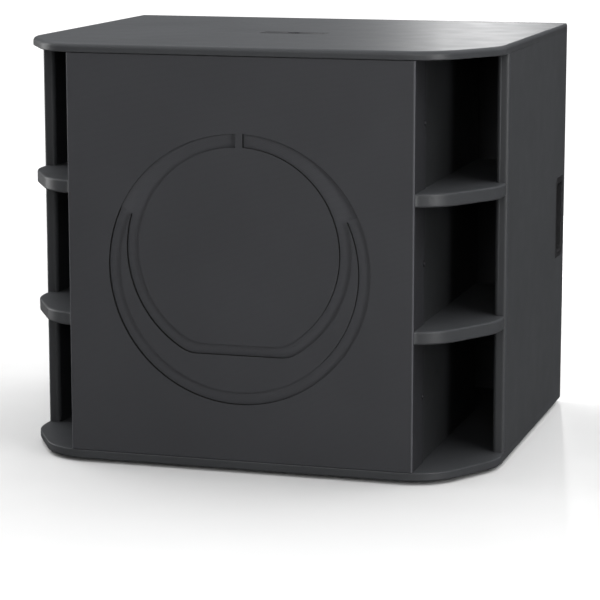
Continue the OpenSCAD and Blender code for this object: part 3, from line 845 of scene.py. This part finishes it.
for name in ("level_knob", "crossover_knob"):
    make_knob(name)
make_marks()
for name, body, material, slot, width in (
    ("amp_panel", "cabinet", plate_coat, "black_steel", 0.0004),
    ("pole_plate", "cabinet", plate_coat, "black_steel", 0.0005),
    ("heatsink", "cabinet", anodised, "heatsink_black", 0.0004),
    ("left_input", "cabinet", moulded, "socket_plastic", 0.0004),
    ("right_input", "cabinet", moulded, "socket_plastic", 0.0004),
    ("left_output", "cabinet", moulded, "socket_plastic", 0.0004),
    ("right_output", "cabinet", moulded, "socket_plastic", 0.0004),
    ("left_latch", "left_latch", nickel, "latch_metal", 0.0004),
    ("right_latch", "right_latch", nickel, "latch_metal", 0.0004),
    ("mains_inlet", "cabinet", moulded, "socket_plastic", 0.0004),
    ("switch_frame", "cabinet", moulded, "socket_plastic", 0.0004),
    ("power_rocker", "power_rocker", rocker_red, "rocker", 0.0005),
    ("polarity_button", "polarity_button", button_grey, "button_plastic", 0.0005),
    ("amp_screws", "cabinet", zinc, "black_screw", 0.00025),
    ("grille_screws", "cabinet", zinc, "black_screw", 0.00025),
    ("wood_screws", "cabinet", zinc, "black_screw", 0.00025),
):
    refined(name, body, material, slot, width)


def make_bending(name, material):
    """A woofer part that bends in the real speaker between the basket at its rim and the cone at its neck,
    here copied from its CAD node and shaded smoothly.
    """
    obj = smooth(link_object(name + "_cloth", cad_copy(name)), 50)
    wear(obj, material)
    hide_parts(name)
    shown.discard(name)
    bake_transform(obj)


doped_cloth = woven("doped_cloth", (0.02, 0.02, 0.02))
spider_cloth = woven("spider_cloth", (0.55, 0.33, 0.1))
make_bending("surround", doped_cloth)
make_bending("spider", spider_cloth)

# ---------------------------------------------------------------- CAD nodes that stay, with better finishes

cad_finish = {
    # painted shade: the baffle edges in the ports wear the darker vent paint
    "painted_ply": vent_painted_shade,
    "raw_ply": plywood(),
    "lining": foam_material("polyester_wadding", (0.55, 0.54, 0.5), 240),
    "black_foam": foam_material("black_foam", (0.012, 0.012, 0.012), 1400),
    "black_screw": zinc,
    "black_steel": plate_coat,
    "cup_plastic": moulded,
    "foot_rubber": rubber,
    "basket_cast": plain("cast_basket", (0.03, 0.03, 0.032), 0.55, metal=0.2, grain=800, depth=0.0001),
    "ring_card": plain("pressed_fibre", (0.02, 0.02, 0.02), 0.85, grain=600, depth=0.00015),
    "magnet_steel": brushed("zinc_plated_steel", (0.5, 0.5, 0.52), "z", 0.3),
    "ferrite": plain("ferrite", (0.03, 0.03, 0.032), 0.6, grain=1800),
    "cone_paper": plain("paper_pulp", (0.022, 0.022, 0.024), 0.8, grain=420, depth=0.0002),
    "coil": brushed("copper_winding", (0.72, 0.32, 0.16), "x", 0.35),
    "terminal": plain("red_terminal", (0.38, 0.02, 0.02), 0.4, grain=2200),
    "lead_sheath": plain("lead_sheath", (0.015, 0.015, 0.015), 0.6, grain=1500),
    "board": plain("circuit_board", (0.015, 0.12, 0.04), 0.4, grain=700),
    "standoff": plain("brass_standoff", (0.72, 0.54, 0.22), 0.3, metal=1.0, grain=2500, depth=0.00002),
    "capacitor": plain("capacitor_sleeve", (0.02, 0.035, 0.14), 0.35, grain=2500),
    "toroid": plain("winding_tape", (0.75, 0.52, 0.06), 0.45, grain=500, depth=0.0002),
    "socket_plastic": moulded,
    "latch_metal": nickel,
    "light_lens": plain("green_lens", (0.03, 0.5, 0.06), 0.2, grain=3000, depth=0.00001),
}
slot_of = {s["node"]: s["material_slot"] for s in frame["record"]["subparts"]}
for name in sorted(shown):
    obj = frame["nodes"][name]
    for slot in obj.material_slots:
        slot.material = cad_finish.get(slot_of[name], paint)

# ---------------------------------------------------------------- studio


def lamp(name, where, look_at, size, power, glossy=True):
    """A soft rectangular lamp that the camera doesn't see."""
    data = bpy.data.lights.new(name, "AREA")
    data.shape = "RECTANGLE"
    data.size, data.size_y = size
    data.energy = power
    obj = bpy.data.objects.new(name, data)
    obj.location = where
    obj.rotation_mode = "QUATERNION"
    obj.rotation_quaternion = (Vector(look_at) - Vector(where)).to_track_quat("-Z", "Y")
    obj.visible_camera = False
    obj.visible_glossy = glossy
    bpy.context.scene.collection.objects.link(obj)


def make_floor():
    """A plain pale floor. It doesn't show in reflections, so only the lamps make the gloss."""
    bm = bmesh.new()
    corners = [bm.verts.new(p) for p in ((-3, -3, 0), (3, -3, 0), (3, 2.2, 0), (-3, 2.2, 0))]
    bm.faces.new(corners)
    ground = link_object("studio_floor", bm)
    s = Shader("pale_floor")
    s.set(specular=0.3)
    s.colour(s.mix(s.noise(3, 2), (0.88, 0.88, 0.88, 1), (0.91, 0.91, 0.91, 1)))
    s.rough(s.remap(s.noise(6, 2), 0.3, 0.7, 0.2, 0.26))
    ground.data.materials.append(s.material)
    ground.visible_glossy = False


def make_world():
    """A white backdrop behind a dim room, so that the gloss comes from the lamps."""
    world = bpy.data.worlds.new("studio")
    world.use_nodes = True
    tree = world.node_tree
    ray = tree.nodes.new("ShaderNodeLightPath").outputs["Is Camera Ray"]
    strength = tree.nodes.new("ShaderNodeMapRange")
    tree.links.new(ray, strength.inputs["Value"])
    strength.inputs["To Min"].default_value = ROOM
    strength.inputs["To Max"].default_value = BACKDROP
    tree.links.new(strength.outputs["Result"], tree.nodes["Background"].inputs["Strength"])
    tree.nodes["Background"].inputs["Color"].default_value = (1, 1, 1, 1)
    bpy.context.scene.world = world


def make_camera(place, azimuth, elevation, lens):
    """A camera at place, turned by azimuth from the front and looking down by elevation."""
    data = bpy.data.cameras.new("camera")
    data.lens = lens
    data.sensor_width = 36
    data.clip_end = 100
    camera = bpy.data.objects.new("camera", data)
    a, e = math.radians(azimuth), math.radians(elevation)
    back = Vector((math.sin(a) * math.cos(e), -math.cos(a) * math.cos(e), math.sin(e)))
    camera.location = place
    camera.rotation_mode = "QUATERNION"
    camera.rotation_quaternion = (-back).to_track_quat("-Z", "Y")
    bpy.context.scene.collection.objects.link(camera)
    bpy.context.scene.camera = camera


BACKDROP = 1.2
ROOM = 0.05
make_floor()
make_world()
for name, where, look_at, size, power, glossy in (
    ("overhead", (0, 0.8, 4.2), (0, 0.8, 0), (12, 12), 200, True),
    ("overhead_matt", (0, 2.6, 4.2), (0, 2.6, 0), (12, 9), 1650, False),
    ("front_fill", (0.8, -4.8, 2.0), (0.1, 0, 0.4), (2.2, 2.2), 58, True),
    ("rear_glow", (-0.84, 5.2, 1.55), (-0.1, 0, 0.58), (0.4, 0.9), 8.5, True),
    ("right_strip", (3.15, -2.45, 1.0), (0, -0.2, 0.4), (1.1, 2.4), 66, True),
    ("left_strip", (-3.9, 1.1, 0.9), (0, -0.2, 0.4), (2.0, 2.6), 45, True),
):
    lamp(name, where, look_at, size, power, glossy)
make_camera((0.9989, -3.3774, 0.8330), azimuth=16.424, elevation=10.367, lens=148.59)

view_settings = bpy.context.scene.view_settings
view_settings.view_transform = "Standard"
view_settings.look = "None"
